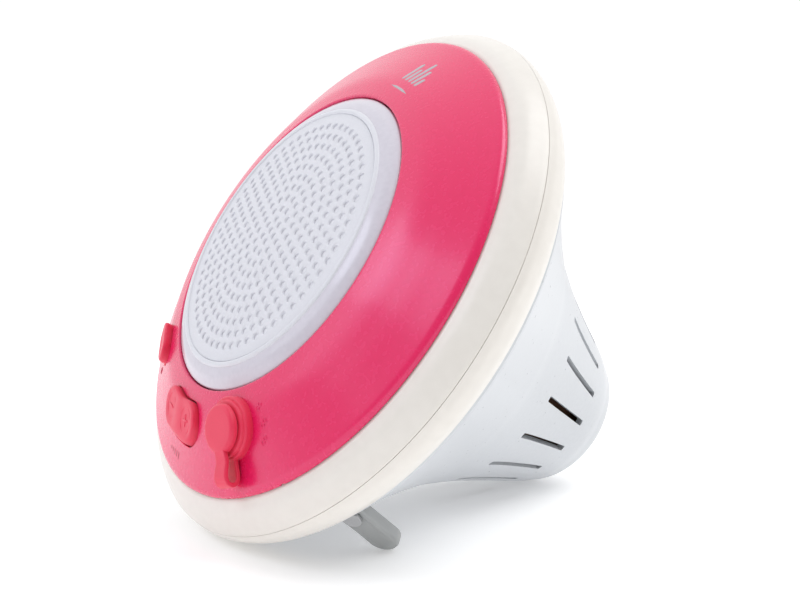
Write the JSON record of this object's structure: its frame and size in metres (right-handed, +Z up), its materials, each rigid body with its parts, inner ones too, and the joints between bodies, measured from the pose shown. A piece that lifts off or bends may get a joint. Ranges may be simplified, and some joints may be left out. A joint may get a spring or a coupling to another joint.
{
  "type": "floating shower speaker",
  "caption": "Round floating shower speaker: domed bezel and grille, float ring, slotted flared tail, fold-out feet, rocker and side keys, and a strapped port cap.",
  "frame": {"origin": "on the floor, under the middle of the standing speaker's box", "axes": "+Z up; -Y the way the face looks, tipped up; +X to the side with the port cap, along the float ring's widest line"},
  "size_m": [0.1672, 0.154, 0.1473],
  "materials": {
    "bezel_pink": "high gloss, slightly pearly",
    "key_rubber": "soft matte",
    "grille_white": "fine satin",
    "trim_frosted": "frosted, glossy",
    "ring_white": "satin, faintly translucent",
    "housing_white": "satin gloss",
    "foot_grey": "satin",
    "frame_plastic": "moulded",
    "cloth": "fine acoustic cloth",
    "steel": "plated",
    "ferrite": "sintered",
    "ballast_iron": "brown primer",
    "board": "solder mask",
    "chip_black": "moulded",
    "led_white": "clear",
    "cone_paper": "pressed paper",
    "seal_black": "smooth",
    "coil_copper": "lacquered wire",
    "cell_wrap": "shrink wrap",
    "socket_metal": "stamped"
  },
  "bodies": {
    "root": {"bezel": "bezel_pink", "speaker_grille": "grille_white", "grille_trim": "trim_frosted", "grille_cloth": "cloth", "rocker_pin": "steel", "key_switches": "chip_black", "key_board": "board", "port_frame": "key_rubber", "port_strap": "key_rubber", "aux_socket": "chip_black", "usb_socket": "socket_metal", "port_board": "board", "chassis": "frame_plastic", "ring_front": "ring_white", "ring_rear": "ring_white", "led_board": "board", "leds": "led_white", "main_seal": "seal_black", "frame_screws": "steel", "rear_housing": "housing_white", "base_plug": "housing_white", "foot_pins": "steel", "inner_tub": "frame_plastic", "ballast_weight": "ballast_iron", "ballast_screw": "steel", "driver_basket": "steel", "driver_gasket": "seal_black", "driver_screws": "steel", "magnet": "ferrite", "back_plate": "steel", "surround": "seal_black", "main_board": "board", "board_parts": "chip_black", "battery": "cell_wrap", "battery_tray": "frame_plastic"},
    "rocker": {"rocker_key": "key_rubber"},
    "side_button": {"side_key": "key_rubber"},
    "cap": {"port_cap": "key_rubber"},
    "left_foot": {"foot_left": "foot_grey"},
    "right_foot": {"foot_right": "foot_grey"},
    "cone": {"speaker_cone": "cone_paper", "dust_cap": "cone_paper", "voice_coil": "coil_copper"}
  },
  "joints": [
    {"name": "rocker_tilt", "type": "hinge", "parent": "root", "child": "rocker", "pos_m": [-0.01185, -0.06579, 0.03307], "axis": [0.1899, 0.1031, 0.9764], "range_deg": [-2.5, 2.5], "stiffness_Nm_per_rad": 0.6},
    {"name": "side_press", "type": "slide", "parent": "root", "child": "side_button", "axis": [0, 0.8616, -0.5075], "range_m": [0, 0.0008], "stiffness_N_per_m": 900, "springref_m": -0.0004},
    {"name": "cap_hinge", "type": "hinge", "parent": "root", "child": "cap", "pos_m": [0.02263, -0.07304, 0.02492], "axis": [0.9466, 0.1636, 0.2777], "range_deg": [0, 110], "deforming": ["port_strap"]},
    {"name": "left_foot_fold", "type": "hinge", "parent": "root", "child": "left_foot", "pos_m": [-0.0358, -0.04268, 0.01221], "axis": [-0.4872, -0.6221, -0.6129], "range_deg": [0, 90]},
    {"name": "right_foot_fold", "type": "hinge", "parent": "root", "child": "right_foot", "pos_m": [0.0358, -0.04268, 0.01221], "axis": [-0.4872, 0.6221, 0.6129], "range_deg": [0, 90]},
    {"name": "cone_travel", "type": "slide", "parent": "root", "child": "cone", "axis": [0, -0.8616, 0.5075], "range_m": [-0.001, 0.001], "stiffness_N_per_m": 1500}
  ]
}
